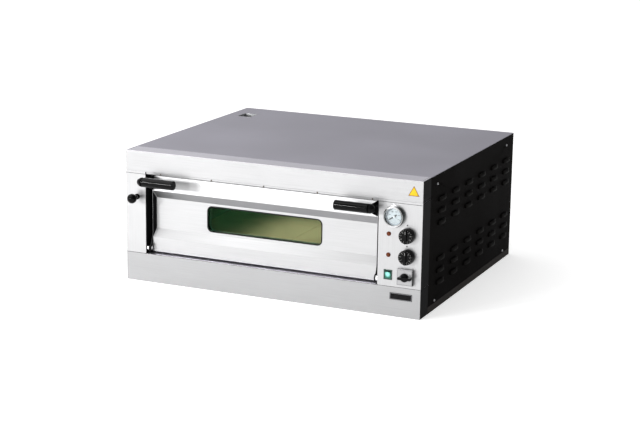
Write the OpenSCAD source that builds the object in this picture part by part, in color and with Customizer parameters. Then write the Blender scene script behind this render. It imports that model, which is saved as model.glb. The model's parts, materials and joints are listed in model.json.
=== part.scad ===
// Single-deck electric pizza oven that stands on a counter.
// Millimetres. +X to the right, +Y to the back, +Z up. The origin is on the
// underside, halfway across and halfway between the front and rear faces.

/* [Cabinet] */
// Width of the cabinet
cabinet_w = 980; // [960:5:1010]
// Depth of the cabinet from its front face to its rear face
cabinet_d = 840; // [820:5:900]
// Height of the cabinet
cabinet_h = 413; // [405:1:430]
// Thickness of the sheet metal
sheet = 1.5; // [1:0.1:2]
// Depth of the stainless front modules, from the front face to their rear edge
module_d = 64; // [58:1:70]
// Height of the lower module, up to the seam under the door
lower_h = 90; // [86:1:92]
// Height of the hood module, above the door
hood_h = 64; // [56:1:66]
// Width of the left jamb
jamb_w = 69; // [60:1:72]
// Width of the control panel
panel_w = 136; // [120:1:140]

/* [Door] */
// Gap between the door and the frame at its sides
side_gap = 11.5; // [10:0.5:14]
// Height of the door's bottom edge
door_z0 = 95; // [94:1:97]
// Height of the door's top edge
door_z1 = 336; // [330:1:338]
// Depth of the two ridges behind the front face
ridge_d = 21.5; // [20:0.5:24]
// Depth of the recessed centre behind the front face
recess_d = 37; // [34:0.5:38]
// Height of the lower ridge
lower_ridge_z = 141; // [135:1:145]
// Height of the upper ridge
upper_ridge_z = 288; // [284:1:292]
// Width of the window
window_w = 386; // [300:2:400]
// Height of the window
window_h = 82; // [70:1:84]
// Corner radius of the window
window_r = 17; // [10:1:22]
// Length of each grip
grip_len = 124; // [100:1:140]
// Radius of each grip
grip_r = 14.6; // [12:0.1:15]

/* [Hinge] */
// Depth of the hinge axis behind the front face
hinge_d = 12; // [11:0.5:13]
// Height of the hinge axis
hinge_z = 107; // [106:1:108]
// Radius of the hinge pins
pin_r = 5; // [4:0.5:6]
// Radial running clearance of pins and shafts
running = 0.05; // [0.02:0.01:0.1]

/* [Chamber] */
// Inner width of the baking chamber
chamber_w = 700; // [680:5:710]
// Top face of the deck
deck_z = 125; // [122:1:127]
// Thickness of the deck tiles
tile_t = 18; // [14:1:20]
// Underside of the chamber roof
roof_z = 290; // [286:1:292]
// Radius of a heating rod
rod_r = 4.2; // [3:0.1:4.5]

/* [Vent] */
// Width of the flue
flue_w = 46; // [40:1:50]
// Depth of the flue
flue_len = 58; // [50:1:60]
// Distance of the vent rod from the left side
vent_rod_in = 39; // [36:1:41]
// Height of the vent rod
vent_rod_z = 268.6; // [262:0.1:270]
// Radius of the vent rod
vent_rod_r = 4; // [3:0.5:4]
// Radius of the ball knob
ball_r = 15; // [12:0.5:16]

/* [Controls] */
// Height of the upper thermostat knob
upper_knob_z = 249; // [244:1:254]
// Height of the lower thermostat knob
lower_knob_z = 186; // [180:1:190]
// Radius of a thermostat knob
knob_r = 23.5; // [20:0.5:25]
// Height of the two switches
switch_z = 125; // [122:1:128]
// Radius of the thermometer
gauge_r = 32; // [28:0.5:34]

/* [Hidden] */
$fn = 48;
t = sheet;
e = 0.5;                              // overrun of a cut past a face
half_w = cabinet_w / 2;
front = -cabinet_d / 2;
back = cabinet_d / 2;
module_y = front + module_d;          // rear edge of the front modules
casing_y = module_y + 0.5;            // front edge of the casing panels
hood_z = cabinet_h - hood_h;
lip_z = hood_z - 7;                   // bottom edge of the hood's lip
lip_d = 3;                            // depth of the lip's face behind the front
open_x0 = -half_w + jamb_w;           // the doorway between jamb and control panel
open_x1 = half_w - panel_w;
mid_x = (open_x0 + open_x1) / 2;      // middle of the doorway, door and chamber
base_flange_z = 21;

door_x0 = open_x0 + side_gap;
door_x1 = open_x1 - side_gap;
ridge_y = front + ridge_d;
top_edge_y = front + 26.5;            // the upper band leans back to this line
recess_y = front + recess_d;
recess_z0 = lower_ridge_z + 25;
recess_z1 = upper_ridge_z - 24;
recess_z = (recess_z0 + recess_z1) / 2;
rim = 1.2;                            // width of the door's side rim
side_run = 6;                         // width of the recess's side bevels
skin_back = front + 60;
plug_back = front + 66;               // rear face of the door
plug_in = 5;                          // inset of the door's raised rear face
hinge_y = front + hinge_d;
ear_t = 3;
ear_r = 12;
grip_y = front - 42;
grip_z = 326.5;
bracket_t = 4;

frame_y = front + 72.5;               // front face of the chamber's front frame
chamber_y0 = frame_y + t;
chamber_y1 = 355;
chamber_x0 = mid_x - chamber_w / 2;
chamber_x1 = mid_x + chamber_w / 2;
floor_z = 70;
mouth_z0 = 118;
upper_rod_z = 278;
lower_rod_z = 84;
hairpin_half = 40;
hairpin_x = [for (i = [0:3]) mid_x + (i - 1.5) * chamber_w / 4];
terminal_y = 400;

flue_x0 = -445;
flue_x1 = flue_x0 + flue_w;
flue_y0 = 260;
flue_y1 = flue_y0 + flue_len;
stub_z0 = 239.5;
stub_z1 = 264.5;
vent_x = -half_w + vent_rod_in;
vent_plate_z = vent_rod_z + vent_rod_r;

ctrl_x = half_w - 44;                 // column of knobs and the main switch
switch_x = ctrl_x - 3;                 // axis of the main switch
lamp_x = half_w - 103;                // column of pilot lamps and the rocker
gauge_x = half_w - 86;
gauge_z = 302;
rocker_pivot = front + 6;
rocker_tilt = 7;
lamp_y = 250;
lamp_z = 225;
gland_x = 415;
gland_z = 60;

louvre_len = 52;
louvre_out = 4.5;
louvre_y0 = -266;
louvre_pitch_y = 121;
louvre_rows = [333, 297, 261, 151, 115, 79];
screw_ys = [-302, 346];
screw_zs = [29.5, 384];
rear_screw_xs = [-465, 0, 465];

// ---- helpers ---------------------------------------------------------------

// Box between two opposite corners.
module block(a, b) {
    translate(a) cube(b - a);
}

// Extrudes an outline drawn in X and Z from y0 to y1.
module along_y(y0, y1) {
    translate([0, y1, 0]) rotate([90, 0, 0]) linear_extrude(y1 - y0) children();
}

// Extrudes an outline drawn in Y and Z from x0 to x1.
module along_x(x0, x1) {
    translate([x0, 0, 0]) rotate([90, 0, 90]) linear_extrude(x1 - x0) children();
}

// Round bar along Y.
module bar_y(x, z, y0, y1, r) {
    translate([x, y1, z]) rotate([90, 0, 0]) cylinder(h = y1 - y0, r = r);
}

// Round bar along X.
module bar_x(y, z, x0, x1, r) {
    translate([x0, y, z]) rotate([0, 90, 0]) cylinder(h = x1 - x0, r = r);
}

// Turned piece: an outline of radius and distance forward of y, about a Y axis.
module turned(x, y, z) {
    translate([x, y, z]) rotate([90, 0, 0]) rotate_extrude() children();
}

// Rectangle with true round corners, centred.
module round_rect(w, h, r) {
    square([w - 2 * r, h], center = true);
    square([w, h - 2 * r], center = true);
    for (sx = [-1, 1], sz = [-1, 1])
        translate([sx * (w / 2 - r), sz * (h / 2 - r)]) circle(r);
}

// ---- stainless front modules --------------------------------------------------

// Sheet box, open at the back.
module open_back_box(x0, x1, z0, z1) {
    difference() {
        block([x0, front, z0], [x1, module_y, z1]);
        block([x0 + t, front + t, z0 + t], [x1 - t, module_y + e, z1 - t]);
    }
}

// Upright sheet channel, open at the back and at both ends.
module upright_channel(x0, x1) {
    difference() {
        block([x0, front, lower_h], [x1, module_y, hood_z]);
        block([x0 + t, front + t, lower_h - e], [x1 - t, module_y + e, hood_z + e]);
    }
}

module hood_fascia() {
    color("gainsboro") {
        open_back_box(-half_w, half_w, hood_z, cabinet_h);
        // lip that covers the gap above the door
        block([open_x0 + 0.5, front + lip_d, lip_z],
            [open_x1 - 0.5, front + lip_d + t, hood_z + t / 2]);
    }
}

module lower_fascia() {
    color("gainsboro") open_back_box(-half_w, half_w, 0, lower_h);
}

module left_jamb() {
    color("gainsboro") difference() {
        upright_channel(-half_w, open_x0);
        bar_y(vent_x, vent_rod_z, front - e, front + t + e, 6.1);
        bar_x(hinge_y, hinge_z, open_x0 - t - e, open_x0 + e, pin_r + 0.1);
    }
}

module control_panel() {
    color("gainsboro") difference() {
        upright_channel(open_x1, half_w);
        bar_x(hinge_y, hinge_z, open_x1 - e, open_x1 + t + e, pin_r + 0.1);
        bar_y(gauge_x, gauge_z, front - e, front + t + e, gauge_r - 3.8);
        for (z = [upper_knob_z, lower_knob_z]) {
            bar_y(ctrl_x, z, front - e, front + t + e, 5);
            bar_y(lamp_x, z - 1, front - e, front + t + e, 5.1);
        }
        bar_y(switch_x, switch_z, front - e, front + t + e, 11);
        block([lamp_x - 11, front - e, switch_z - 12.5],
            [lamp_x + 11, front + t + e, switch_z + 12.5]);
    }
}

// ---- casing ----------------------------------------------------------------------

module top_panel() {
    color("darkgray") difference() {
        block([-half_w, casing_y, cabinet_h - t], [half_w, back, cabinet_h]);
        block([flue_x0 - t, flue_y0 - t, cabinet_h - t - e],
            [flue_x1 + t, flue_y1 + t, cabinet_h + e]);
    }
}

// One pressed louvre on the plane x = 0: a hood that opens downwards.
module louvre_hood() {
    along_y(-louvre_len / 2, louvre_len / 2)
        polygon([[0, 6], [louvre_out, -4], [louvre_out - 1.3, -4], [0, 3.2]]);
    for (y = [-louvre_len / 2, louvre_len / 2 - 1.2])
        along_y(y, y + 1.2) polygon([[0, 6], [louvre_out, -4], [0, -4]]);
}

module side_panel() {
    difference() {
        union() {
            block([half_w - t, casing_y, base_flange_z + 0.5], [half_w, back, cabinet_h - t]);
            for (i = [0:5], z = louvre_rows)
                translate([half_w, louvre_y0 + i * louvre_pitch_y, z]) louvre_hood();
        }
        for (i = [0:5], z = louvre_rows)
            translate([half_w, louvre_y0 + i * louvre_pitch_y, z])
                block([-t - e, 1.2 - louvre_len / 2, -4], [0, louvre_len / 2 - 1.2, 3.2]);
        for (y = screw_ys, z = screw_zs)
            bar_x(y, z, half_w - t - e, half_w + e, 2.1);
    }
}

module right_side_panel() {
    color([0.1, 0.1, 0.1]) side_panel();
}

module left_side_panel() {
    color([0.1, 0.1, 0.1]) mirror([1, 0, 0]) side_panel();
}

module rear_panel() {
    color([0.1, 0.1, 0.1]) difference() {
        block([-half_w + t, back - t, base_flange_z + 0.5],
            [half_w - t, back, cabinet_h - t]);
        bar_y(gland_x, gland_z, back - t - e, back + e, 10.1);
        for (x = rear_screw_xs, z = screw_zs)
            bar_y(x, z, back - t - e, back + e, 2.1);
        for (sx = [-1, 1], i = [0:7])
            block([sx * 290 - 60, back - t - e, 240 + i * 14],
                [sx * 290 + 60, back + e, 246 + i * 14]);
    }
}

module base_tray() {
    color("gray") difference() {
        block([-half_w, casing_y, 0], [half_w, back, base_flange_z]);
        block([-half_w + t, casing_y - e, t], [half_w - t, back - t, base_flange_z + e]);
    }
}

module casing_screw() {
    cylinder(h = 2.2, r1 = 4, r2 = 3.2);
    translate([0, 0, -9]) cylinder(h = 9, r = 1.9);
}

module casing_screws() {
    color("silver") {
        for (s = [-1, 1], y = screw_ys, z = screw_zs)
            translate([s * half_w, y, z]) rotate([0, s * 90, 0]) casing_screw();
        for (x = rear_screw_xs, z = screw_zs)
            translate([x, back, z]) rotate([-90, 0, 0]) casing_screw();
    }
}

module hood_screws() {
    pitch = 175.5;
    color("dimgray") for (i = [-2:2])
        translate([i * pitch - 19, front + lip_d, lip_z + 2.8]) rotate([90, 0, 0])
            cylinder(h = 1.2, r1 = 2.7, r2 = 2.2);
}

// ---- structure and chamber -----------------------------------------------------

module support_brackets() {
    color("slategray") for (x = [chamber_x0 + 1, chamber_x1 - 21], y = [-330, 290])
        difference() {
            block([x, y, t], [x + 20, y + 60, floor_z - t]);
            block([x + 2, y - e, t + 2], [x + 20 + e, y + 60 + e, floor_z - t - 2]);
        }
}

module front_frame() {
    color("silver") difference() {
        block([-440, frame_y, 60], [open_x1 + 18, frame_y + t, hood_z - 1]);
        block([chamber_x0, frame_y - e, mouth_z0], [chamber_x1, frame_y + t + e, roof_z]);
    }
}

module door_seal() {
    color("dimgray") difference() {
        block([chamber_x0 - 14, frame_y - 5.3, 102], [chamber_x1 + 14, frame_y, 304]);
        block([chamber_x0 - 6, frame_y - 5.3 - e, 110], [chamber_x1 + 6, frame_y + e, 296]);
    }
}

module chamber_floor() {
    color("lightslategray")
        block([chamber_x0 - t, chamber_y0, floor_z - t], [chamber_x1 + t, chamber_y1 + t, floor_z]);
}

module chamber_roof() {
    color("lightslategray")
        block([chamber_x0 - t, chamber_y0, roof_z], [chamber_x1 + t, chamber_y1 + t, roof_z + t]);
}

module chamber_side_walls() {
    color("lightslategray") difference() {
        for (x = [chamber_x0 - t, chamber_x1])
            block([x, chamber_y0, floor_z], [x + t, chamber_y1 + t, roof_z]);
        block([chamber_x0 - t - e, flue_y0, stub_z0], [chamber_x0 + e, flue_y1, stub_z1]);
        bar_x(lamp_y, lamp_z, chamber_x1 - e, chamber_x1 + t + e, 20);
    }
}

// Visits both legs of every hairpin at the height z.
module at_legs(z) {
    for (x = hairpin_x, s = [-1, 1]) translate([x + s * hairpin_half, 0, z]) children();
}

module chamber_back_wall() {
    color("lightslategray") difference() {
        block([chamber_x0, chamber_y1, floor_z], [chamber_x1, chamber_y1 + t, roof_z]);
        for (z = [lower_rod_z, upper_rod_z])
            at_legs(z) bar_y(0, 0, chamber_y1 - e, chamber_y1 + t + e, rod_r + 0.8);
    }
}

module deck_rails() {
    color("slategray") {
        block([chamber_x0, chamber_y0, floor_z], [chamber_x1, chamber_y0 + 10, deck_z - tile_t]);
        for (x = [chamber_x0, mid_x - 6, chamber_x1 - 12])
            block([x, chamber_y0 + 11, floor_z], [x + 12, chamber_y1 - 1, deck_z - tile_t]);
    }
}

module deck_tiles() {
    gap = 1;
    tile_w = (chamber_w - 3 * gap) / 2;
    tile_l = (chamber_y1 - chamber_y0 - 3 * gap) / 2;
    color("tan") for (i = [0, 1], j = [0, 1])
        translate([chamber_x0 + gap + i * (tile_w + gap),
                chamber_y0 + gap + j * (tile_l + gap), deck_z - tile_t])
            cube([tile_w, tile_l, tile_t]);
}

// Heating rod bent into a U, with its two ends at the back.
module hairpin(x, z) {
    bend_y = chamber_y0 + 90;
    for (s = [-1, 1]) bar_y(x + s * hairpin_half, z, bend_y, terminal_y, rod_r);
    translate([x, bend_y, z]) rotate([0, 0, 180])
        rotate_extrude(angle = 180) translate([hairpin_half, 0]) circle(rod_r);
}

module lower_heaters() {
    color("dimgray") for (x = hairpin_x) hairpin(x, lower_rod_z);
}

module upper_heaters() {
    color("dimgray") for (x = hairpin_x) hairpin(x, upper_rod_z);
}

module heater_rests() {
    color("slategray") for (y = [-200, 50, 300]) {
        block([chamber_x0 + 30, y, upper_rod_z + rod_r], [chamber_x1 - 30, y + 8, roof_z]);
        for (x = [chamber_x0 + 14, mid_x + 8])
            block([x, y, floor_z], [x + chamber_w / 2 - 22, y + 8, lower_rod_z - rod_r]);
    }
}

module insulation_slabs() {
    color("khaki") {
        block([chamber_x0 - t, chamber_y0, roof_z + t], [chamber_x1 + t, chamber_y1 + t, 352]);
        block([chamber_x0 + 24, chamber_y0 + 30, 22], [chamber_x1 - 24, chamber_y1 - 30, floor_z - t]);
        difference() {               // the slide plate of the vent runs back through this notch
            block([-436, chamber_y0, floor_z], [chamber_x0 - t, flue_y0 - 10, roof_z]);
            block([-436 - e, 160, 262], [chamber_x0 - t + e, flue_y0, roof_z + e]);
        }
        difference() {
            block([chamber_x1 + t, chamber_y0, floor_z], [350, chamber_y1 + t, roof_z]);
            bar_x(lamp_y, lamp_z, chamber_x1, 350 + e, 22.5);
        }
        difference() {
            block([chamber_x0, chamber_y1 + t, floor_z], [chamber_x1, chamber_y1 + t + 32, roof_z]);
            for (z = [lower_rod_z, upper_rod_z])
                at_legs(z) bar_y(0, 0, chamber_y1, chamber_y1 + t + 32 + e, rod_r + 0.8);
        }
    }
}

module sensor_bulbs() {
    color("silver") for (z = [135, 240, 262])
        bar_y(chamber_x1 - 3, z, -50, 90, 3);
}

module lamp_holder() {
    color("white") difference() {
        bar_x(lamp_y, lamp_z, chamber_x1 + t, chamber_x1 + 56, 22);
        bar_x(lamp_y, lamp_z, chamber_x1 + t - e, chamber_x1 + 40, 18);
    }
}

module lamp_glass() {
    color("lightyellow") {
        bar_x(lamp_y, lamp_z, chamber_x1 - 7, chamber_x1, 24);
        bar_x(lamp_y, lamp_z, chamber_x1, chamber_x1 + 8, 17.5);
    }
}

// ---- flue and damper ---------------------------------------------------------------

module flue_duct() {
    color("silver") difference() {
        union() {
            block([flue_x0 - t, flue_y0 - t, stub_z0 - t], [flue_x1 + t, flue_y1 + t, cabinet_h]);
            block([flue_x1 + t, flue_y0 - t, stub_z0 - t],
                [chamber_x0 - t, flue_y1 + t, stub_z1 + t]);
        }
        block([flue_x0, flue_y0, stub_z0], [flue_x1, flue_y1, cabinet_h + e]);
        block([flue_x0, flue_y0, stub_z0], [chamber_x0 + e, flue_y1, stub_z1]);
        block([flue_x0, flue_y0 - t - e, vent_plate_z - 0.5],
            [flue_x1, flue_y0 + e, vent_plate_z + 2]);
    }
}

module vent_damper() {
    color("silver") {
        bar_y(vent_x, vent_rod_z, front - 20, 243, vent_rod_r);
        block([flue_x0 + 0.6, 230, vent_plate_z], [flue_x1 - 0.6, flue_y1 - 1, vent_plate_z + t]);
        block([vent_x - vent_rod_r, 230, vent_plate_z], [flue_x0 + 0.6, 243, vent_plate_z + t]);
    }
}

module vent_bush() {
    color("black") difference() {
        union() {
            bar_y(vent_x, vent_rod_z, front - 2, front, 9);
            bar_y(vent_x, vent_rod_z, front, front + 6, 6);
        }
        bar_y(vent_x, vent_rod_z, front - 2 - e, front + 6 + e, vent_rod_r + running);
    }
}

module vent_knob() {
    ball_y = front - 32.5;
    color("black") difference() {
        union() {
            translate([vent_x, ball_y, vent_rod_z]) sphere(ball_r);
            bar_y(vent_x, vent_rod_z, ball_y, front - 10, 6);
        }
        bar_y(vent_x, vent_rod_z, front - 20, front - 10 + e, vent_rod_r);
    }
}

// ---- controls ------------------------------------------------------------------------

module thermometer_case() {
    color("dimgray") difference() {
        bar_y(gauge_x, gauge_z, front - 8, front + 28, gauge_r - 4);
        bar_y(gauge_x, gauge_z, front - 8 - e, front + 26, gauge_r - 5.4);
    }
}

module thermometer_dial() {
    color("white") difference() {
        bar_y(gauge_x, gauge_z, front - 5, front - 4, gauge_r - 5.4);
        bar_y(gauge_x, gauge_z, front - 5 - e, front - 4 + e, 1 + running);
    }
}

module thermometer_bezel() {
    color("lightgray") turned(gauge_x, front, gauge_z)
        polygon([[gauge_r - 3.9, 0], [gauge_r, 0], [gauge_r, 11], [gauge_r - 1.5, 14],
            [gauge_r - 4, 15], [gauge_r - 6, 14], [gauge_r - 6, 11], [gauge_r - 3.9, 11]]);
}

module thermometer_glass() {
    color("lightcyan") bar_y(gauge_x, gauge_z, front - 11, front - 9, gauge_r - 4);
}

module thermometer_needle() {
    pointer_angle = -125;                // the pointer rests at the low end of its scale
    color("black") translate([gauge_x, front - 6, gauge_z]) rotate([90, 0, 0]) {
        translate([0, 0, -4]) cylinder(h = 5, r = 1);
        cylinder(h = 1.6, r = 2.6);
        rotate([0, 0, -pointer_angle]) linear_extrude(0.8)
            polygon([[-1.7, -10], [1.7, -10], [1.6, 13], [0, 21], [-1.6, 13]]);
    }
}

module thermostat_bodies() {
    color("ivory") for (z = [upper_knob_z, lower_knob_z]) difference() {
        block([ctrl_x - 20, front + t, z - 18], [ctrl_x + 20, front + 44, z + 18]);
        bar_y(ctrl_x, z, front + t - e, front + 26, 3 + running);
    }
}

module thermostat_knob(z) {
    color("black") translate([ctrl_x, front, z]) {
        turned(0, 0, 0) polygon([[0, 1.5], [knob_r, 1.5], [knob_r, 8], [knob_r - 1.5, 18],
            [knob_r - 3, 19.5], [0, 19.5]]);
        along_y(-24, -19.5) {
            square([7, 2 * knob_r - 12], center = true);
            for (s = [-1, 1]) translate([0, s * (knob_r - 6)]) circle(3.5);
        }
        bar_y(0, 0, -1.5, 24, 3);
    }
}

module upper_knob() {
    thermostat_knob(upper_knob_z);
}

module lower_knob() {
    thermostat_knob(lower_knob_z);
}

module indicator_lamps() {
    color("orangered") for (z = [upper_knob_z, lower_knob_z]) {
        turned(lamp_x, front, z - 1)
            polygon([[0, 0], [6.8, 0], [6.8, 1.2], [5.6, 2.8], [3.4, 3.8], [0, 4.2]]);
        bar_y(lamp_x, z - 1, front, front + 22, 5);
    }
}

module rocker_frame() {
    color([0.05, 0.15, 0.1]) translate([lamp_x, 0, switch_z]) difference() {
        union() {
            block([-13, front - 2, -15], [13, front, 15]);
            block([-10.8, front, -12.3], [10.8, front + 24, 12.3]);
        }
        block([-9.5, front - 2 - e, -11.5], [9.5, front + 16, 11.5]);
    }
}

module rocker_button() {
    reach = rocker_pivot - front;
    color("turquoise") translate([lamp_x, rocker_pivot, switch_z]) rotate([rocker_tilt, 0, 0]) {
        along_x(-9.1, 9.1)
            polygon([[4, -6], [-reach - 3.6, -10.1], [-reach - 1.8, 0], [-reach - 3.6, 10.1],
                [4, 6]]);
    }
}

module main_switch_body() {
    color("black") translate([switch_x, 0, switch_z]) difference() {
        union() {
            block([-24, front - 10.5, -24], [24, front, 24]);
            bar_y(0, 0, front, front + t, 10.9);
            block([-22, front + t, -22], [22, front + 58, 22]);
        }
        bar_y(0, 0, front - 10.5 - e, front + 30, 5 + running);
    }
}

module main_switch_plate() {
    color("silver") translate([switch_x, 0, switch_z]) difference() {
        block([-24, front - 12, -24], [24, front - 10.5, 24]);
        bar_y(0, 0, front - 12 - e, front - 10, 6);
    }
}

module main_switch_handle() {
    color("black") translate([switch_x, front, switch_z]) {
        bar_y(0, 0, -13, 28, 5);
        turned(0, -12.3, 0)
            polygon([[0, 0], [13, 0], [13, 3], [10, 8], [6, 10], [0, 10]]);
        along_y(-28, -16) {          // a short tail and a longer nose
            translate([4.5, 0]) square([35, 8], center = true);
            for (x = [-13, 22]) translate([x, 0]) circle(4);
        }
    }
}

module terminal_block() {
    color("ivory") difference() {
        block([380, 360, t], [450, 385, 26]);
        for (i = [0:4]) block([385 + i * 13, 358, 16], [393 + i * 13, 378, 26 + e]);
    }
}

module cable_gland() {
    color("black") difference() {
        union() {
            bar_y(gland_x, gland_z, back - 10, back - t, 13);
            bar_y(gland_x, gland_z, back - t, back, 10);
            translate([gland_x, back + 9, gland_z]) rotate([90, 0, 0])
                cylinder(h = 9, r = 15, $fn = 6);
            bar_y(gland_x, gland_z, back + 9, back + 24, 12);
        }
        bar_y(gland_x, gland_z, back - 10 - e, back + 24 + e, 6.5);
    }
}

module badge_plate() {
    color("black") block([394, front - 1, 51.5], [464, front, 72.5]);
}

module triangle_sticker() {
    side = 34;
    color("gold") translate([half_w - 29, 0, 367.5])
        along_y(front - 0.4, front)
            polygon([[-side / 2, 0], [side / 2, 0], [0, side * sin(60)]]);
}

// ---- door ----------------------------------------------------------------------------

// Hollow that forms the recess, with four bevelled sides that meet in mitres.
module recess_cut(s) {
    ahead = 20;                          // how far the cut runs out in front of the ridges
    slope_lo = (recess_z0 - lower_ridge_z) / (recess_y - ridge_y);
    slope_hi = (upper_ridge_z - recess_z1) / (recess_y - ridge_y);
    slope_x = side_run / (recess_y - ridge_y);
    front_y = ridge_y - ahead;
    intersection() {
        along_x(door_x0 - 1, door_x1 + 1) polygon([
            [front_y, lower_ridge_z - s - ahead * slope_lo], [recess_y + s, recess_z0 - s],
            [recess_y + s, recess_z1 + s], [front_y, upper_ridge_z + s + ahead * slope_hi]]);
        translate([0, 0, door_z0 - 20]) linear_extrude(door_z1 - door_z0 + 40) polygon([
            [door_x0 + rim - s - ahead * slope_x, front_y],
            [door_x0 + rim + side_run - s, recess_y + s],
            [door_x1 - rim - side_run + s, recess_y + s],
            [door_x1 - rim + s + ahead * slope_x, front_y]]);
    }
}

// The door's outer form, with every face moved inwards by s.
module door_form(s, y_end) {
    difference() {
        along_x(door_x0 + s, door_x1 - s) polygon([
            [y_end, door_z0 + s], [ridge_y + s, door_z0 + s], [ridge_y + s, upper_ridge_z],
            [top_edge_y + s, door_z1 - s], [y_end, door_z1 - s]]);
        recess_cut(s);
    }
}

// Window outline of the given border around the clear size, from y0 to y1.
module window_prism(border, y0, y1) {
    along_y(y0, y1) translate([mid_x, recess_z])
        round_rect(window_w + 2 * border, window_h + 2 * border, window_r + border);
}

module door_skin() {
    color("whitesmoke") difference() {
        door_form(0, skin_back);
        door_form(t, skin_back + e);
        window_prism(0, recess_y - e, recess_y + t + e);
    }
}

module door_pan() {
    color("silver") difference() {
        union() {
            block([door_x0, skin_back, door_z0], [door_x1, skin_back + t, door_z1]);
            block([door_x0 + plug_in, skin_back, door_z0 + plug_in],
                [door_x1 - plug_in, plug_back, door_z1 - plug_in]);
            window_prism(7, recess_y + t + 5, skin_back + t);
        }
        difference() {
            block([door_x0 + plug_in + t, skin_back - e, door_z0 + plug_in + t],
                [door_x1 - plug_in - t, plug_back - t, door_z1 - plug_in - t]);
            window_prism(7, recess_y, plug_back);
        }
        window_prism(5.5, recess_y, plug_back - t);
        window_prism(0, recess_y, plug_back + e);
    }
}

module door_insulation() {
    color("khaki") difference() {
        block([door_x0 + 2, recess_y + t + 0.5, door_z0 + 2],
            [door_x1 - 2, skin_back, door_z1 - 2]);
        window_prism(8, recess_y, skin_back + e);
    }
}

module door_outer_glass() {
    color("lightcyan") window_prism(5, recess_y + t, recess_y + t + 4);
}

module door_inner_glass() {
    color("lightcyan") window_prism(5, plug_back - t - 4, plug_back - t);
}

module window_gasket() {
    color("black") difference() {
        window_prism(0, recess_y - 0.6, recess_y + t);
        window_prism(-3, recess_y - 1, recess_y + t + e);
    }
}

// Triangular plate that carries one end of a grip.
module handle_bracket(x) {
    along_x(x, x + bracket_t) difference() {
        polygon([[ridge_y - 0.1, upper_ridge_z + 2], [top_edge_y - 0.2, door_z1],
            [grip_y, grip_z + 9], [grip_y - 8, grip_z + 2], [grip_y - 6, grip_z - 7]]);
        translate([grip_y, grip_z]) circle(5);
    }
}

module handle_brackets() {
    color("black") {
        handle_bracket(door_x0);
        handle_bracket(door_x1 - bracket_t);
    }
}

// Grip with its plain end at x0. Its nose, which is past the bracket, is at x1.
module grip(x0, x1) {
    out = sign(x1 - x0);
    bracket_in = x1 - out * (grip_len - 106);
    bracket_out = bracket_in + out * bracket_t;
    color("black") translate([0, grip_y, grip_z]) rotate([0, 90, 0]) rotate_extrude()
        polygon([[0, x0], [grip_r - 1, x0], [grip_r, x0 + out], [grip_r, bracket_in],
            [5, bracket_in], [5, bracket_out], [grip_r, bracket_out],
            [grip_r - 1, bracket_out + out * 5], [grip_r - 6, x1 - out], [grip_r - 8, x1],
            [0, x1]]);
}

module left_grip() {
    grip(door_x0 - 14 + grip_len, door_x0 - 14);
}

module right_grip() {
    grip(door_x1 + 14 - grip_len, door_x1 + 14);
}

module hinge_ear(x) {
    difference() {
        union() {
            bar_x(hinge_y, hinge_z, x, x + ear_t, ear_r);
            along_x(x, x + ear_t) polygon([[hinge_y, hinge_z - ear_r], [front + 55, door_z0],
                [front + 55, 150], [front + 24, 150], [hinge_y, hinge_z + ear_r]]);
        }
        bar_x(hinge_y, hinge_z, x - e, x + ear_t + e, pin_r + running);
    }
}

module hinge_ears() {
    color("slategray") {
        hinge_ear(door_x0 - ear_t);
        hinge_ear(door_x1);
    }
}

// Pin with a spacing collar against the frame and a head inside it.
module hinge_pin(wall, s) {
    translate([wall, hinge_y, hinge_z]) rotate([0, s * 90, 0]) {
        translate([0, 0, -t - 4]) cylinder(h = 4, r = 8);
        translate([0, 0, -t]) cylinder(h = side_gap + t + 2.5, r = pin_r);
        cylinder(h = side_gap - ear_t - 0.5, r = 9);
    }
}

module hinge_pins() {
    color("lightgray") {
        hinge_pin(open_x0, 1);
        hinge_pin(open_x1, -1);
    }
}

hood_fascia();
left_jamb();
control_panel();
lower_fascia();
top_panel();
left_side_panel();
right_side_panel();
rear_panel();
base_tray();
support_brackets();
front_frame();
door_seal();
chamber_floor();
chamber_side_walls();
chamber_back_wall();
chamber_roof();
deck_rails();
deck_tiles();
lower_heaters();
upper_heaters();
heater_rests();
insulation_slabs();
flue_duct();
vent_bush();
vent_knob();
vent_damper();
sensor_bulbs();
lamp_holder();
lamp_glass();
thermometer_case();
thermometer_dial();
thermometer_bezel();
thermometer_glass();
thermometer_needle();
thermostat_bodies();
upper_knob();
lower_knob();
indicator_lamps();
rocker_frame();
rocker_button();
main_switch_body();
main_switch_plate();
main_switch_handle();
terminal_block();
cable_gland();
badge_plate();
triangle_sticker();
casing_screws();
hood_screws();
door_skin();
door_pan();
door_insulation();
door_outer_glass();
door_inner_glass();
window_gasket();
handle_brackets();
left_grip();
right_grip();
hinge_ears();
hinge_pins();
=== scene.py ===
import json
import math

import bpy
from mathutils import Matrix, Vector


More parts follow.
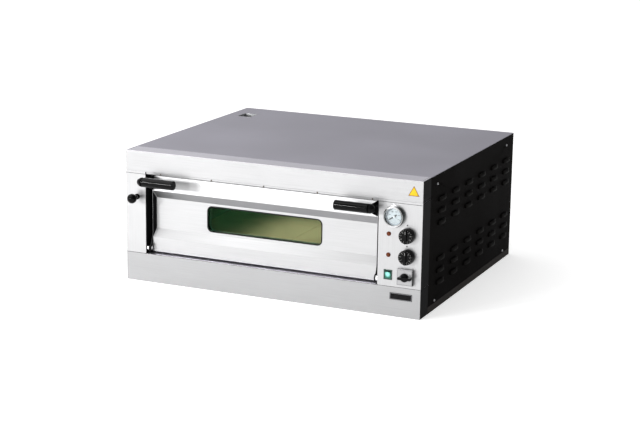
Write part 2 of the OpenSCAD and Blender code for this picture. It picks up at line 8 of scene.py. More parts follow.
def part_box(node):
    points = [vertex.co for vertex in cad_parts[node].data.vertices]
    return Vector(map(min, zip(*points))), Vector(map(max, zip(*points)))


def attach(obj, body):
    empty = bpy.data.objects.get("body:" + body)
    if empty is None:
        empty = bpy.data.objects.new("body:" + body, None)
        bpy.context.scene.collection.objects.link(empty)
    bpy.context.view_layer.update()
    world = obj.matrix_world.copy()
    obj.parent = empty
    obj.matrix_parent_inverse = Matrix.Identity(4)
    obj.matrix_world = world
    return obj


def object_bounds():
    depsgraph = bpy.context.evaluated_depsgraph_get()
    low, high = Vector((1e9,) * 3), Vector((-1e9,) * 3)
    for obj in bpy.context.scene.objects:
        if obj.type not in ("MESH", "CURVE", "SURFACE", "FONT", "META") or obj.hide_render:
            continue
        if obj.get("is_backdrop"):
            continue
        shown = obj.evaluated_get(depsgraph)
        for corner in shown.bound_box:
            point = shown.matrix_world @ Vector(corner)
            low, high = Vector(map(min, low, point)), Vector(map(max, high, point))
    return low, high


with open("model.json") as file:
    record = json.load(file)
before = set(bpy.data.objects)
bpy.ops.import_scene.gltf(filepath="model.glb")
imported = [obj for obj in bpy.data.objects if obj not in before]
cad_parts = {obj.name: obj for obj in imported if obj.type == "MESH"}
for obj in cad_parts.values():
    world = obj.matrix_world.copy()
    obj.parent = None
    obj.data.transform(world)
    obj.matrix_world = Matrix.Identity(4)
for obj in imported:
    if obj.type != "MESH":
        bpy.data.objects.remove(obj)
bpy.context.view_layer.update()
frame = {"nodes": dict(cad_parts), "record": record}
nodes = frame["nodes"]
scene = bpy.context.scene
MM = 0.001


# ---------------------------------------------------------------- node tools

class Shader:
    """A material being built: each method adds nodes and returns an output socket."""

    def __init__(self, name, color=(0.8, 0.8, 0.8), metallic=0.0, roughness=0.5, **inputs):
        self.mat = bpy.data.materials.new(name)
        self.mat.use_nodes = True
        self.tree = self.mat.node_tree
        self.tree.nodes.clear()
        self.out = self.tree.nodes.new("ShaderNodeOutputMaterial")
        self.bsdf = self.tree.nodes.new("ShaderNodeBsdfPrincipled")
        self.link(self.bsdf.outputs[0], self.out.inputs["Surface"])
        self.set("Base Color", (*color, 1.0))
        self.set("Metallic", metallic)
        self.set("Roughness", roughness)
        for key, value in inputs.items():
            self.set(key.replace("_", " "), value)
        self.coords = self.tree.nodes.new("ShaderNodeTexCoord")
        self.mat.diffuse_color = (*color, 1.0)
        self.mat.metallic, self.mat.roughness = metallic, roughness

    def link(self, a, b):
        self.tree.links.new(a, b)

    def set(self, key, value):
        sockets = {s.name: s for s in self.bsdf.inputs}
        sockets[key].default_value = value

    def plug(self, key, socket):
        self.link(socket, self.bsdf.inputs[key])

    def where(self, scale=(1, 1, 1)):
        m = self.tree.nodes.new("ShaderNodeMapping")
        m.inputs["Scale"].default_value = scale
        self.link(self.coords.outputs["Object"], m.inputs["Vector"])
        return m.outputs[0]

    def noise(self, scale=(1, 1, 1), detail=4.0, rough=0.55, warp=0.0):
        n = self.tree.nodes.new("ShaderNodeTexNoise")
        n.inputs["Scale"].default_value = 1.0
        n.inputs["Detail"].default_value = detail
        n.inputs["Roughness"].default_value = rough
        n.inputs["Distortion"].default_value = warp
        self.link(self.where(scale), n.inputs["Vector"])
        return n.outputs[0]

    def cells(self, scale=(1, 1, 1), output="Color"):
        v = self.tree.nodes.new("ShaderNodeTexVoronoi")
        v.inputs["Scale"].default_value = 1.0
        self.link(self.where(scale), v.inputs["Vector"])
        return v.outputs[output]

    def span(self, socket, lo, hi, a=0.0, b=1.0, kind="LINEAR"):
        r = self.tree.nodes.new("ShaderNodeMapRange")
        r.interpolation_type = kind
        for key, value in (("From Min", lo), ("From Max", hi), ("To Min", a), ("To Max", b)):
            r.inputs[key].default_value = value
        self.link(socket, r.inputs["Value"])
        return r.outputs["Result"]

    def mix(self, fac, a, b, blend="MIX"):
        m = self.tree.nodes.new("ShaderNodeMix")
        m.data_type, m.blend_type = "RGBA", blend
        for key, value in ((0, fac), (6, a), (7, b)):
            if isinstance(value, (int, float)):
                m.inputs[key].default_value = value
            elif isinstance(value, (tuple, list)):
                m.inputs[key].default_value = (*value[:3], 1.0)
            else:
                self.link(value, m.inputs[key])
        return m.outputs[2]

    def math(self, op, a, b=0.0):
        m = self.tree.nodes.new("ShaderNodeMath")
        m.operation = op
        for i, value in enumerate((a, b)):
            if isinstance(value, (int, float)):
                m.inputs[i].default_value = value
            else:
                self.link(value, m.inputs[i])
        return m.outputs[0]

    def bump(self, height, strength=0.3, distance=0.0005):
        b = self.tree.nodes.new("ShaderNodeBump")
        b.inputs["Strength"].default_value = strength
        b.inputs["Distance"].default_value = distance
        self.link(height, b.inputs["Height"])
        self.plug("Normal", b.outputs[0])

    def facing(self, axis, lo=0.55, hi=0.9):
        """How far the surface's own normal points along an axis: 0 at lo, 1 at hi."""
        s = self.tree.nodes.new("ShaderNodeSeparateXYZ")
        self.link(self.coords.outputs["Normal"], s.inputs[0])
        return self.span(s.outputs["XYZ".index(axis)], lo, hi)


mats = {}


def brushed(name, grain, color=(0.42, 0.42, 0.425), rough=0.33, lit_from=9.0):
    """Satin sheet: fine grain along one axis, soft handling marks and a few hair scratches.
    Light is painted by face direction: faces that look down get a painted shade, faces that look up a paler
    painted reflection, and faces that look to +X a dark, non-metallic painted shade, weaker beyond x =
    lit_from."""
    s = Shader(name, color, 1.0, rough)
    fine = s.noise(grain, 3.0, 0.7)
    smear = s.noise((5, 5, 7), 5.0, 0.6, 0.6)
    hair = s.noise(tuple(g * 0.23 for g in grain), 1.0, 0.4)
    dim, pale = tuple(c * 0.93 for c in color), tuple(c * 1.07 for c in color)
    tone = s.mix(s.span(fine, 0.3, 0.7), dim, pale)
    tone = s.mix(s.span(smear, 0.35, 0.75, 0.0, 0.16), tone, tuple(c * 0.8 for c in color))
    # painted shade on faces that look down, painted reflection on faces that look up
    tone = s.mix(s.facing("Z", -0.25, -0.5), tone, tuple(c * 0.66 for c in color))
    tone = s.mix(s.facing("Z", 0.6, 0.85), tone, (0.86, 0.84, 0.92))
    # painted shade: faces that look to +X turn dark and lose their metal, easing to 0.4 of that beyond x =
    # lit_from
    place = s.tree.nodes.new("ShaderNodeSeparateXYZ")
    s.link(s.coords.outputs["Object"], place.inputs[0])
    lit = s.span(place.outputs["X"], lit_from, lit_from + 0.02, 1.0, 0.4)
    side = s.math("MULTIPLY", s.facing("X"), lit)
    tone = s.mix(side, tone, (0.006, 0.006, 0.0065))
    s.plug("Metallic", s.math("SUBTRACT", 1.0, side))
    s.set("Specular IOR Level", 0.05)
    s.set("IOR", 1.15)
    s.plug("Base Color", tone)
    r = s.math("ADD", s.span(fine, 0.2, 0.8, rough - 0.06, rough + 0.06),
               s.span(smear, 0.4, 0.8, 0.0, 0.1))
    s.plug("Roughness", s.math("ADD", r, s.span(hair, 0.7, 0.78, 0.0, 0.12)))
    s.bump(s.math("ADD", fine, s.math("MULTIPLY", hair, 0.6)), 0.12, 0.0002)
    return s


def painted(name, color, rough, spec, speck=0.15, wear=(0.3, 0.3, 0.3)):
    """Powder coat: orange peel, a slight change of tone, dust and rubbed spots."""
    s = Shader(name, color, 0.0, rough, Specular_IOR_Level=spec)
    peel = s.noise((420, 420, 420), 3.0, 0.6)
    cloud = s.noise((3.2, 3.2, 3.2), 4.0, 0.55)
    fleck = s.noise((160, 160, 160), 2.0, 0.7)
    dim, pale = tuple(c * 0.93 for c in color), tuple(c * 1.08 for c in color)
    tone = s.mix(s.span(cloud, 0.3, 0.7), dim, pale)
    tone = s.mix(s.span(fleck, 0.66, 0.78, 0.0, speck), tone, wear)
    s.plug("Base Color", tone)
    s.plug("Roughness", s.math("ADD", s.span(cloud, 0.3, 0.75, rough - 0.05, rough + 0.08),
                               s.span(fleck, 0.55, 0.8, 0.0, 0.06)))
    s.bump(peel, 0.16, 0.0003)
    return s


def metal(name, color, rough, grain=(300, 300, 300), tint=None, bump=0.15, amount=0.5):
    """Machined, plated or blued metal with mottled tone."""
    s = Shader(name, color, 1.0, rough)
    fine = s.noise(grain, 4.0, 0.65)
    cloud = s.noise((14, 14, 14), 4.0, 0.6, 0.4)
    tone = s.mix(s.span(fine, 0.3, 0.7), tuple(c * 0.86 for c in color), color)
    if tint:
        tone = s.mix(s.span(cloud, 0.42, 0.68, 0.0, amount), tone, tint)
    s.plug("Base Color", tone)
    s.plug("Roughness", s.math("ADD", s.span(fine, 0.25, 0.75, rough * 0.8, rough * 1.25),
                               s.span(cloud, 0.5, 0.8, 0.0, 0.12)))
    s.bump(fine, bump, 0.0003)
    return s


def moulded(name, color, rough, spec=0.5, grain=900.0, bump=0.1):
    """Moulded plastic or rubber: fine texture, slight rub in scattered patches."""
    s = Shader(name, color, 0.0, rough, Specular_IOR_Level=spec)
    fine = s.noise((grain, grain, grain), 2.0, 0.6)
    rub = s.noise((45, 45, 45), 4.0, 0.6)
    s.plug("Base Color", s.mix(s.span(rub, 0.45, 0.75, 0.0, 0.5), color,
                               tuple(min(1.0, c * 1.6 + 0.001) for c in color)))
    s.plug("Roughness", s.span(rub, 0.3, 0.75, rough * 0.7, rough * 1.6))
    s.bump(fine, bump, 0.0002)
    return s


def pane(name, tint, sheen=(1, 1, 1), reflect=1.0, haze=0.02):
    """A thin pane: tinted light passes straight, the surface reflects by angle and carries a faint film."""
    s = Shader(name, tint, 0.0, 0.05)
    t = s.tree
    clear = t.nodes.new("ShaderNodeBsdfTransparent")
    gloss = t.nodes.new("ShaderNodeBsdfGlossy")
    film = t.nodes.new("ShaderNodeBsdfDiffuse")
    fresnel = t.nodes.new("ShaderNodeFresnel")
    fresnel.inputs["IOR"].default_value = 1.5
    cloud = s.noise((18, 18, 18), 5.0, 0.6, 0.5)
    streak = s.noise((9, 60, 4), 3.0, 0.6)
    s.link(s.mix(s.span(cloud, 0.3, 0.7), tint, tuple(c * 0.94 for c in tint)), clear.inputs["Color"])
    s.link(s.span(streak, 0.4, 0.8, 0.02, 0.09), gloss.inputs["Roughness"])
    film.inputs["Color"].default_value = (0.5, 0.5, 0.46, 1.0)
    gloss.inputs["Color"].default_value = (*sheen, 1.0)
    first = t.nodes.new("ShaderNodeMixShader")
    s.link(s.math("MULTIPLY", s.span(cloud, 0.45, 0.8), haze), first.inputs[0])
    s.link(clear.outputs[0], first.inputs[1])
    s.link(film.outputs[0], first.inputs[2])
    last = t.nodes.new("ShaderNodeMixShader")
    s.link(s.math("MULTIPLY", fresnel.outputs[0], reflect), last.inputs[0])
    s.link(first.outputs[0], last.inputs[1])
    s.link(gloss.outputs[0], last.inputs[2])
    s.link(last.outputs[0], s.out.inputs["Surface"])
    t.nodes.remove(s.bsdf)
    return s


# copies of the stainless steel: the upright one runs its grain upright; it and the door's are a little
# paler, painted light; the darker copy for the lower fascia and the switch plate is painted shade; the
# door's +X painted shade weakens beyond x = 0.3 m
mats["stainless"] = brushed("stainless", (6, 700, 700))
mats["stainless_upright"] = brushed("stainless_upright", (700, 700, 6), (0.445, 0.445, 0.45))
mats["stainless_door"] = brushed("stainless_door", (6, 700, 700), (0.45, 0.45, 0.455), lit_from=0.3)
mats["stainless_shaded"] = brushed("stainless_shaded", (6, 700, 700), (0.35, 0.35, 0.355))
mats["grey_paint"] = painted("grey_paint", (0.285, 0.277, 0.318), 0.5, 0.3, 0.12, (0.42, 0.42, 0.43))
mats["black_paint"] = painted("black_paint", (0.0035, 0.003, 0.0028), 0.6, 0.12, 0.10, (0.03, 0.03, 0.03))
mats["black_paint"].set("IOR", 1.1)
mats["tray_paint"] = painted("tray_paint", (0.030, 0.027, 0.025), 0.6, 0.3, 0.2, (0.06, 0.06, 0.06))
mats["tray_paint"].set("IOR", 1.1)
# the louvre hoods, pressed from the black side panels, get a paler copy of the black paint: painted light
mats["louvre_black"] = painted("louvre_black", (0.006, 0.0055, 0.005), 0.5, 0.25, 0.2, (0.03, 0.03, 0.03))
mats["louvre_black"].set("IOR", 1.12)
mats["bracket_paint"] = painted("bracket_paint", (0.006, 0.006, 0.0065), 0.4, 0.5, 0.2, (0.03, 0.03, 0.03))
mats["bracket_paint"].set("IOR", 1.22)
mats["frame_green"] = moulded("frame_green", (0.006, 0.035, 0.022), 0.3)
mats["black_plastic"] = moulded("black_plastic", (0.002, 0.002, 0.0022), 0.07, 0.5, 1500.0, 0.01)
mats["black_plastic"].set("IOR", 1.2)
mats["gloss_black"] = moulded("gloss_black", (0.001, 0.001, 0.0011), 0.05, 0.5, 1500.0, 0.01)
mats["gloss_black"].set("IOR", 1.2)
mats["gasket_rubber"] = moulded("gasket_rubber", (0.012, 0.012, 0.012), 0.65, 0.2, 400.0)
mats["ivory_plastic"] = moulded("ivory_plastic", (0.58, 0.53, 0.42), 0.4)
mats["lamp_ceramic"] = moulded("lamp_ceramic", (0.72, 0.69, 0.62), 0.28)
mats["badge_black"] = moulded("badge_black", (0.003, 0.003, 0.0035), 0.25, 0.5)
mats["badge_black"].set("IOR", 1.2)
mats["pilot_orange"] = moulded("pilot_orange", (0.095, 0.022, 0.006), 0.22, 0.4)
mats["pilot_orange"].set("IOR", 1.3)
mats["dial_white"] = moulded("dial_white", (0.76, 0.79, 0.83), 0.5, 0.3)
mats["needle_black"] = moulded("needle_black", (0.012, 0.012, 0.014), 0.3)
mats["sticker_yellow"] = moulded("sticker_yellow", (0.60, 0.40, 0.012), 0.4, 0.2)
mats["sticker_orange"] = moulded("sticker_orange", (0.20, 0.075, 0.012), 0.4, 0.2)
mats["print_white"] = moulded("print_white", (0.30, 0.30, 0.29), 0.5)
mats["print_black"] = moulded("print_black", (0.012, 0.012, 0.013), 0.5)
mats["print_blue"] = moulded("print_blue", (0.03, 0.10, 0.32), 0.45)
mats["chrome"] = metal("chrome", (0.86, 0.86, 0.87), 0.10, (500, 500, 500), (0.70, 0.70, 0.72), 0.03, 0.3)
# the bezel's faces that look left or right turn dark: painted shade
s = metal("bezel_chrome", (0.80, 0.80, 0.81), 0.16, (500, 500, 500), None, 0.02)
side = s.tree.nodes.new("ShaderNodeSeparateXYZ")
s.link(s.coords.outputs["Normal"], side.inputs[0])
shade = s.span(s.math("ABSOLUTE", side.outputs["X"]), 0.12, 0.5)
polish = s.mix(s.noise((300, 300, 300)), (0.66, 0.66, 0.67), (0.82, 0.82, 0.83))
s.plug("Base Color", s.mix(shade, polish, (0.035, 0.045, 0.042)))
mats["bezel_chrome"] = s
mats["zinc"] = metal("zinc", (0.33, 0.33, 0.34), 0.38, (260, 260, 260), (0.22, 0.22, 0.24), 0.2)
mats["rod_steel"] = metal("rod_steel", (0.15, 0.135, 0.12), 0.5, (240, 240, 240), (0.24, 0.15, 0.09), 0.3)
mats["chamber_steel"] = metal("chamber_steel", (0.38, 0.36, 0.32), 0.44, (8, 420, 420),
                              (0.20, 0.15, 0.09), 0.15)
# the door glass reflects in a green tint: painted reflection colour
mats["door_glass"] = pane("door_glass", (0.90, 0.94, 0.87), (0.035, 0.16, 0.07), 0.9, 0.004)
mats["clear_glass"] = pane("clear_glass", (0.95, 0.97, 0.97), (1, 1, 1), 0.5, 0.0)

s = Shader("galvanised", (0.5, 0.51, 0.52), 1.0, 0.42)
spangle = s.cells((70, 70, 70))
dull = s.noise((6, 6, 6), 5.0, 0.6)
flowers = s.mix(s.span(spangle, 0.1, 0.9), (0.40, 0.41, 0.42), (0.60, 0.61, 0.62))
s.plug("Base Color", s.mix(s.span(dull, 0.3, 0.75, 0.0, 0.5), flowers, (0.36, 0.37, 0.38)))
s.plug("Roughness", s.math("ADD", s.span(spangle, 0.0, 1.0, 0.32, 0.5), s.span(dull, 0.4, 0.8, 0.0, 0.1)))
s.bump(spangle, 0.06, 0.0003)
mats["galvanised"] = s

s = Shader("firebrick", (0.60, 0.50, 0.32), 0.0, 0.85, Specular_IOR_Level=0.2)
grit = s.noise((240, 240, 240), 5.0, 0.7)
stain = s.noise((7, 7, 7), 5.0, 0.62, 0.4)
pores = s.cells((210, 210, 210), output="Distance")
tone = s.mix(s.span(grit, 0.3, 0.7), (0.50, 0.41, 0.29), (0.68, 0.58, 0.44))
tone = s.mix(s.span(stain, 0.50, 0.78, 0.0, 0.55), tone, (0.20, 0.14, 0.08))
s.plug("Base Color", s.mix(s.span(pores, 0.0, 0.22, 0.35, 0.0), tone, (0.16, 0.12, 0.08)))
s.plug("Roughness", s.span(grit, 0.2, 0.8, 0.75, 0.95))
s.bump(s.math("ADD", grit, s.span(pores, 0.0, 0.3)), 0.4, 0.0008)
mats["firebrick"] = s

s = Shader("mineral_wool", (0.50, 0.44, 0.25), 0.0, 0.95, Specular_IOR_Level=0.05)
fluff = s.noise((60, 60, 60), 8.0, 0.75, 2.0)
strand = s.noise((300, 30, 300), 4.0, 0.7, 1.5)
s.plug("Base Color", s.mix(s.span(strand, 0.3, 0.7), (0.36, 0.31, 0.17), (0.60, 0.54, 0.33)))
s.plug("Roughness", s.span(fluff, 0.2, 0.8, 0.85, 1.0))
s.bump(s.math("ADD", fluff, strand), 0.9, 0.003)
mats["mineral_wool"] = s

s = Shader("rope_seal", (0.55, 0.54, 0.50), 0.0, 0.9, Specular_IOR_Level=0.1)
weave = s.cells((330, 330, 330), output="Distance")
soot = s.noise((16, 16, 16), 4.0, 0.6)
cord = s.mix(s.span(weave, 0.0, 0.6), (0.66, 0.65, 0.61), (0.40, 0.39, 0.36))
s.plug("Base Color", s.mix(s.span(soot, 0.45, 0.75, 0.0, 0.6), cord, (0.16, 0.13, 0.10)))
s.plug("Roughness", s.span(soot, 0.3, 0.8, 0.8, 0.98))
s.bump(weave, 0.8, -0.0015)
mats["rope_seal"] = s

s = Shader("rocker_green", (0.01, 0.16, 0.10), 0.0, 0.2)
lo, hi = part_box("rocker_button")
middle = s.tree.nodes.new("ShaderNodeVectorMath")
middle.operation = "DISTANCE"
middle.inputs[1].default_value = (lo + hi) / 2 + Vector((0.0, -0.5, 0.1)) * (hi.z - lo.z)
s.link(s.coords.outputs["Object"], middle.inputs[0])
glow = s.math("MULTIPLY", s.span(middle.outputs["Value"], 0.005, 0.011, 1.0, 0.0, "SMOOTHSTEP"),
              s.span(s.noise((260, 260, 260), 3.0), 0.2, 0.8, 0.75, 1.0))
s.plug("Base Color", s.mix(glow, (0.008, 0.10, 0.065), (0.25, 0.72, 0.62)))
s.plug("Emission Color", s.mix(glow, (0.0, 0.05, 0.03), (0.45, 0.95, 0.86)))
s.set("Emission Strength", 0.26)
mats["rocker_green"] = s

# ---------------------------------------------------------------- CAD nodes

# nodes drawn with another material than the plain one of their slot: real finishes (grain direction, gloss,
# screw steel) and painted light (paler and darker stainless copies, the bezel's painted shade)
FINISH_AND_PAINTED_LIGHT = {
    "left_jamb": "stainless_upright", "control_panel": "stainless_upright",
    "lower_fascia": "stainless_shaded", "main_switch_plate": "stainless_shaded",
    "door_skin": "stainless_door", "hood_screws": "rod_steel",
    "left_grip": "gloss_black", "right_grip": "gloss_black", "vent_knob": "gloss_black",
    "thermometer_bezel": "bezel_chrome",
}
finish_of = {part["node"]: part["material_slot"] for part in frame["record"]["subparts"]}


def dress(o, key):
    o.data.materials.clear()
    o.data.materials.append(mats[key].mat)
    for p in o.data.polygons:
        p.material_index = 0


# bevel widths in millimetres
BEVELS = {
    0.8: ["hood_fascia", "left_jamb", "lower_fascia", "top_panel", "left_side_panel",
          "right_side_panel", "door_skin", "handle_brackets", "badge_plate"],
    0.5: ["door_pan", "front_frame", "main_switch_plate", "rocker_frame", "rocker_button",
          "main_switch_handle", "hinge_ears"],
    1.5: ["deck_tiles"],
}
ROUND = {"main_switch_handle", "hinge_ears"}      # bevelled, but smooth shaded
width_of = {n: w for w, ns in BEVELS.items() for n in ns}

for name, o in nodes.items():
    dress(o, FINISH_AND_PAINTED_LIGHT.get(name, finish_of[name]))
    if name in width_of:
        w = o.modifiers.new("join", "WELD")
        w.merge_threshold = 0.00002
        b = o.modifiers.new("edges", "BEVEL")
        b.width = width_of[name] * MM
        b.segments = 2
        b.limit_method = "ANGLE"
        b.angle_limit = math.radians(38)
        b.harden_normals = False
        b.use_clamp_overlap = True
        if name not in ROUND:
            baked = o.data.attributes.get("custom_normal")
            if baked:
                o.data.attributes.remove(baked)
            for p in o.data.polygons:
                p.use_smooth = False

# ---------------------------------------------------------------- detail pieces

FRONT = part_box("control_panel")[0].y
CTRL_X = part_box("upper_knob")[0].x / 2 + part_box("upper_knob")[1].x / 2
SCREW_YS, SCREW_ZS = (-0.302, 0.346), (0.0295, 0.384)         # side panel screws
LOUVRE_YS = [-0.266 + 0.121 * i for i in range(6)]
LOUVRE_ZS = (0.333, 0.297, 0.261, 0.151, 0.115, 0.079)


def piece(name, verts, faces, key, body, smooth=False, solid=0.0):
    """A mesh piece in the row frame that rides on a body."""
    mesh = bpy.data.meshes.new(name)
    mesh.from_pydata([tuple(v) for v in verts], [], faces)
    mesh.update()
    o = bpy.data.objects.new(name, mesh)
    scene.collection.objects.link(o)
    mesh.materials.append(mats[key].mat)
    if smooth:
        mesh.shade_smooth()
    if solid:
        m = o.modifiers.new("thickness", "SOLIDIFY")
        m.thickness, m.offset = solid, 0.0
    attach(o, body)
    return o


def circle(r, n=48):
    return [(r * math.cos(2 * math.pi * i / n), r * math.sin(2 * math.pi * i / n)) for i in range(n)]


def rectangle(a, b):
    """Corners of a rectangle with half sides a and b."""
    return [(-a, -b), (a, -b), (a, b), (-a, b)]


class Sketch:
    """Flat or thin shapes gathered into one mesh; points are placed by a matrix."""

    def __init__(self):
        self.verts, self.faces = [], []

    def add(self, verts, faces, at=Matrix.Identity(4)):
        n = len(self.verts)
        self.verts += [at @ Vector(v) for v in verts]
        self.faces += [[i + n for i in f] for f in faces]

    def prism(self, outline, h, at):
        """A closed outline in the local XY plane, raised by h along local Z."""
        n = len(outline)
        verts = [(x, y, 0) for x, y in outline] + [(x, y, h) for x, y in outline]
        faces = [list(range(n, 2 * n)), list(range(n - 1, -1, -1))]
        faces += [[i, (i + 1) % n, n + (i + 1) % n, n + i] for i in range(n)]
        self.add(verts, faces, at)

    def bar(self, x0, y0, x1, y1, h, at):
        self.prism([(x0, y0), (x1, y0), (x1, y1), (x0, y1)], h, at)

    def disc(self, r, h, at, n=32):
        self.prism(circle(r, n), h, at)

    def ring(self, outer, inner, h, at):
        """A band between two outlines with the same number of points."""
        n = len(outer)
        verts = [(x, y, z) for z in (0, h) for loop in (outer, inner) for x, y in loop]
        faces = []
        for i in range(n):
            j = (i + 1) % n
            faces += [[2 * n + i, 2 * n + j, 3 * n + j, 3 * n + i], [i, n + i, n + j, j],
                      [i, j, 2 * n + j, 2 * n + i], [n + j, n + i, 3 * n + i, 3 * n + j]]
        self.add(verts, faces, at)

    def number(self, text, height, at):
        curve = bpy.data.curves.new("number", "FONT")
        curve.body, curve.size = text, height
        curve.align_x, curve.align_y = "CENTER", "CENTER"
        o = bpy.data.objects.new("number", curve)
        scene.collection.objects.link(o)
        bpy.context.view_layer.update()
        shaped = o.evaluated_get(bpy.context.evaluated_depsgraph_get())
        mesh = bpy.data.meshes.new_from_object(shaped)
        self.add([v.co for v in mesh.vertices], [list(p.vertices) for p in mesh.polygons], at)
        bpy.data.objects.remove(o)
        bpy.data.curves.remove(curve)
        bpy.data.meshes.remove(mesh)


def on_front(x, y, z):
    """Local XY faces the user: X to the right, Y up, Z out of the front."""
    return Matrix.Translation((x, y, z)) @ Matrix.Rotation(math.pi / 2, 4, "X")


def clock(degrees, r):
    a = math.radians(degrees)
    return r * math.sin(a), r * math.cos(a)


# knobs: a scale moulded into the face and a pointer line on the grip bar
for body, node in (("upper_thermostat", "upper_knob"), ("lower_thermostat", "lower_knob")):
    lo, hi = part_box(node)
    x, z = (lo.x + hi.x) / 2, (lo.z + hi.z) / 2
    face = on_front(x, lo.y + 0.0045, z)
    s = Sketch()
    for i in range(1, 18):
        turn = face @ Matrix.Rotation(-math.radians(20 * i), 4, "Z")
        s.bar(-0.0003, 0.0176 if i % 2 else 0.0168, 0.0003, 0.0198, 0.00012, turn)
    for i in range(1, 9):
        px, py = clock(40 * i, 0.0148)
        s.number(str(50 * i), 0.0028, face @ Matrix.Translation((px, py, 0.00012)))
    s.disc(0.0013, 0.00012, face @ Matrix.Translation((0, 0.0188, 0)))
    top = on_front(x, lo.y, z)
    s.bar(-0.0005, 0.008, 0.0005, 0.0165, 0.0001, top)
    piece(node + "_scale", s.verts, s.faces, "print_white", body)

# printed marks on the control panel
s = Sketch()
for node in ("upper_knob", "lower_knob"):
    lo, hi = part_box(node)
    z = (lo.z + hi.z) / 2
    s.disc(0.0023, 0.00015, on_front(CTRL_X - 0.002, FRONT, z + 0.0300), 24)
piece("panel_print", s.verts, s.faces, "print_black", "casing")

# gauge: scale and numbers on the dial, a cap over the needle's hub
lo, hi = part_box("thermometer_dial")
gx, gz, gr = (lo.x + hi.x) / 2, (lo.z + hi.z) / 2, (hi.x - lo.x) / 2
dial = on_front(gx, lo.y, gz)
s, blue = Sketch(), Sketch()
for i in range(51):
    turn = dial @ Matrix.Rotation(-math.radians(-120 + 4.8 * i), 4, "Z")
    long = i % 10 == 0
    half, start = (0.0004, gr - 0.0075) if long else (0.0002, gr - 0.0055)
    s.bar(-half, start, half, gr - 0.0035, 0.0001, turn)
for i in range(6):
    px, py = clock(-120 + 48 * i, gr - 0.0112)
    s.number(str(100 * i), 0.0044, dial @ Matrix.Translation((px, py, 0.0001)))
blue.ring(circle(gr - 0.0026, 64), circle(gr - 0.0031, 64), 0.0001, dial)
piece("dial_scale", s.verts, s.faces, "print_black", "casing")
piece("dial_ring", blue.verts, blue.faces, "print_blue", "casing")
lo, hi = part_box("thermometer_needle")
s = Sketch()
s.disc(0.0034, 0.0006, on_front(gx, lo.y, gz), 32)
piece("needle_cap", s.verts, s.faces, "chrome", "needle")

# sticker border, badge rim, switch plate marks
lo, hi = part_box("triangle_sticker")
w, x = hi.x - lo.x, (lo.x + hi.x) / 2
at = on_front(x, lo.y, lo.z)
outer = [(-w / 2, 0), (w / 2, 0), (0, w * math.sqrt(3) / 2)]
c = Vector((0, w * math.sqrt(3) / 6))
inner = [tuple(c + (Vector(p) - c) * 0.84) for p in outer]
s = Sketch()
s.ring(outer, inner, 0.0002, at)
piece("sticker_border", s.verts, s.faces, "sticker_orange", "casing")

lo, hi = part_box("badge_plate")
s = Sketch()
a, b = (hi.x - lo.x) / 2 - 0.0012, (hi.z - lo.z) / 2 - 0.0012
at = on_front((lo.x + hi.x) / 2, lo.y, (lo.z + hi.z) / 2)
s.ring(rectangle(a, b), rectangle(a - 0.0008, b - 0.0008), 0.0003, at)
piece("badge_rim", s.verts, s.faces, "zinc", "casing")

lo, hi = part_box("main_switch_plate")
at = on_front((lo.x + hi.x) / 2, lo.y, (lo.z + hi.z) / 2)
s = Sketch()
s.ring(rectangle(0.0222, 0.0222), rectangle(0.0217, 0.0217), 0.00012, at)
s.number("1", 0.0055, at @ Matrix.Translation((0, 0.0172, 0.00012)))
s.number("0", 0.0055, at @ Matrix.Translation((0.0175, 0.0095, 0.00012)))
piece("switch_print", s.verts, s.faces, "print_black", "casing")

# cross recesses in the screw heads of the side panels and of the hood's lip, drawn as flat dark bars:
# painted shade in the recesses
s = Sketch()
lo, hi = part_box("casing_screws")
for side in (-1, 1):
    for y in SCREW_YS:
        for z in SCREW_ZS:
            at = Matrix.Translation((hi.x * side, y, z)) @ Matrix.Rotation(side * math.pi / 2, 4, "Y")
            for turn in (0.4, 0.4 + math.pi / 2):
                s.bar(-0.0018, -0.00035, 0.0018, 0.00035, 0.0001, at @ Matrix.Rotation(turn + y, 4, "Z"))
piece("screw_crosses", s.verts, s.faces, "gasket_rubber", "casing")
lo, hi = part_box("hood_screws")
s = Sketch()
for i in range(5):
    at = on_front(lo.x + 0.0027 + i * (hi.x - lo.x - 0.0054) / 4, lo.y, (lo.z + hi.z) / 2)
    for turn in (0.3, 0.3 + math.pi / 2):
        s.bar(-0.0014, -0.0003, 0.0014, 0.0003, 0.0001, at @ Matrix.Rotation(turn + i, 4, "Z"))
piece("hood_screw_crosses", s.verts, s.faces, "gasket_rubber", "casing")

# painted shadow: dark strips along the two seams of the front stand for the shade in their gaps
s = Sketch()
lo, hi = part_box("lower_fascia")
for z in (hi.z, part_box("hood_fascia")[0].z):
    s.bar(lo.x + 0.001, -0.0006, hi.x - 0.001, 0.0006, 0.00012, on_front(0, lo.y, z))
piece("seam_shadow_strips", s.verts, s.faces, "gasket_rubber", "casing")

# the hood's folded end tabs leave a seam on its top edge, drawn as a dark strip: painted shade in the seam
lo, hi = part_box("hood_fascia")
s = Sketch()
for side in (-1, 1):
    s.bar(-0.0004, 0.002, 0.0004, 0.062, 0.0001, Matrix.Translation((side * (hi.x - 0.006), lo.y, hi.z)))
piece("hood_seams", s.verts, s.faces, "gasket_rubber", "casing")

# pressed hoods over the louvre slots of both sides
for side, name in ((-1, "left_louvre_hoods"), (1, "right_louvre_hoods")):
    s = Sketch()
    lo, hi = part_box("right_side_panel")
    for y in LOUVRE_YS:
        for z in LOUVRE_ZS:
            nu, nv = 16, 6
            verts, faces = [], []
            for i in range(nu + 1):
                u = -1 + 2 * i / nu
                for j in range(nv + 1):
                    v = j / nv
                    lift = 0.0046 * (1 - u ** 4) * math.sin(v * math.pi / 2) - 0.0003
                    drop = 0.0115 * v * (1 - 0.15 * u * u)
                    verts.append((side * (hi.x + lift), y + 0.0285 * u, z + 0.0085 - drop))
            for i in range(nu):
                for j in range(nv):
                    k = i * (nv + 1) + j
                    faces.append([k, k + 1, k + nv + 2, k + nv + 1])
            s.add(verts, faces)
    piece(name, s.verts, s.faces, "louvre_black", "casing", True, 0.0009)

# ---------------------------------------------------------------- stage, light and camera

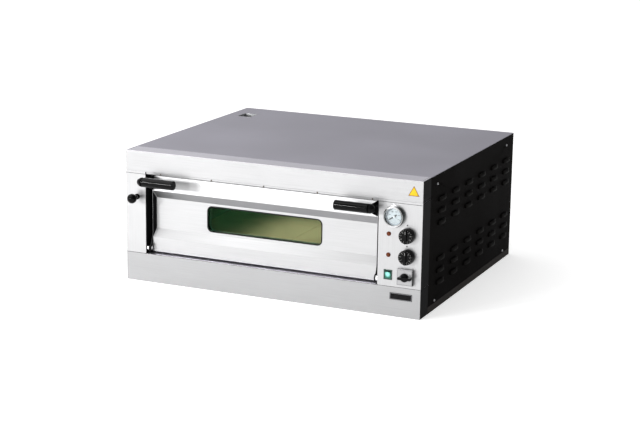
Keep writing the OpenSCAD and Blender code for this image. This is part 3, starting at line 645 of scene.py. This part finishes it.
bpy.ops.mesh.primitive_plane_add(size=120)
floor = bpy.context.object
floor.name = "studio_floor"
s = Shader("studio_floor", (0.86, 0.86, 0.86), 0.0, 0.7, Specular_IOR_Level=0.1)
s.set("Emission Color", (1.0, 1.0, 1.0, 1.0))
s.set("Emission Strength", 0.56)
s.plug("Base Color", s.mix(s.noise((1.5, 1.5, 1.5), 3.0), (0.85, 0.85, 0.85), (0.88, 0.88, 0.88)))
floor.data.materials.append(s.mat)
floor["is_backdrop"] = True

world = bpy.data.worlds.new("studio")
scene.world = world
world.use_nodes = True
wt = world.node_tree
bg = wt.nodes["Background"]
tc = wt.nodes.new("ShaderNodeTexCoord")
dot = wt.nodes.new("ShaderNodeVectorMath")
dot.operation = "DOT_PRODUCT"
dot.inputs[1].default_value = Vector((-0.80, -0.50, 0.42)).normalized()
span = wt.nodes.new("ShaderNodeMapRange")
span.interpolation_type = "SMOOTHSTEP"
for key, value in (("From Min", -0.7), ("From Max", 0.75), ("To Min", 0.05), ("To Max", 0.95)):
    span.inputs[key].default_value = value
wt.links.new(tc.outputs["Generated"], dot.inputs[0])
wt.links.new(dot.outputs["Value"], span.inputs["Value"])
wt.links.new(span.outputs["Result"], bg.inputs["Strength"])
bg.inputs["Color"].default_value = (1.0, 1.0, 1.0, 1.0)

key_light = bpy.data.lights.new("key", "SUN")
key_light.energy = 1.25
key_light.angle = math.radians(3.5)
key = bpy.data.objects.new("key", key_light)
scene.collection.objects.link(key)
az, el = math.radians(37), math.radians(9)
toward = Vector((-math.sin(az) * math.cos(el), -math.cos(az) * math.cos(el), math.sin(el)))
key.rotation_euler = toward.to_track_quat("Z", "Y").to_euler()
key.location = toward * 4

soft_light = bpy.data.lights.new("overhead", "AREA")
soft_light.energy = 20.0
soft_light.shape = "RECTANGLE"
soft_light.size, soft_light.size_y = 1.9, 1.5
soft = bpy.data.objects.new("overhead", soft_light)
soft.location = (-1.15, -0.8, 1.9)
soft.rotation_euler = (Vector((0, 0, 0.4)) - soft.location).to_track_quat("-Z", "Y").to_euler()
scene.collection.objects.link(soft)

lamp_light = bpy.data.lights.new("chamber_glow", "AREA")
lamp_light.energy = 0.42
lamp_light.color = (1.0, 0.95, 0.86)
lamp_light.shape = "RECTANGLE"
lamp_light.size, lamp_light.size_y = 0.34, 0.42
lamp_light.spread = math.radians(95)
lamp = bpy.data.objects.new("chamber_glow", lamp_light)
lamp.location = (0.0, -0.12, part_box("upper_heaters")[0].z - 0.004)
scene.collection.objects.link(lamp)

# one narrow strip for each grip, where its reflection runs along the grip
for name, x in (("strip_left", -1.85), ("strip_right", -0.90)):
    strip_light = bpy.data.lights.new(name, "AREA")
    strip_light.energy = 14.0
    strip_light.shape = "RECTANGLE"
    strip_light.size, strip_light.size_y = 0.26, 0.06
    strip = bpy.data.objects.new(name, strip_light)
    strip.location = (x, -3.05, 1.02)
    strip.rotation_euler = (Vector((0.0, -0.4, 0.3)) - strip.location).to_track_quat("-Z", "Y").to_euler()
    scene.collection.objects.link(strip)

az, el, roll, dist = math.radians(23.825), math.radians(13.605), math.radians(0.858), 5.475
back = Vector((math.sin(az) * math.cos(el), -math.cos(az) * math.cos(el), math.sin(el)))
eye = Vector((-0.0179, 0.0, 0.1725)) + back * dist
right = Vector((0, 0, 1)).cross(back).normalized()
up = back.cross(right)
xr = right * math.cos(roll) + up * math.sin(roll)
yr = up * math.cos(roll) - right * math.sin(roll)
camera_data = bpy.data.cameras.new("photo_view")
camera_data.sensor_width = 36.0
camera_data.lens = 95.48
camera_data.clip_end = 200.0
camera = bpy.data.objects.new("photo_view", camera_data)
scene.collection.objects.link(camera)
camera.matrix_world = Matrix(((xr.x, yr.x, back.x, eye.x), (xr.y, yr.y, back.y, eye.y),
                              (xr.z, yr.z, back.z, eye.z), (0, 0, 0, 1)))
scene.camera = camera
scene.view_settings.view_transform = "Standard"
scene.view_settings.look = "None"

lo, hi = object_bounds()
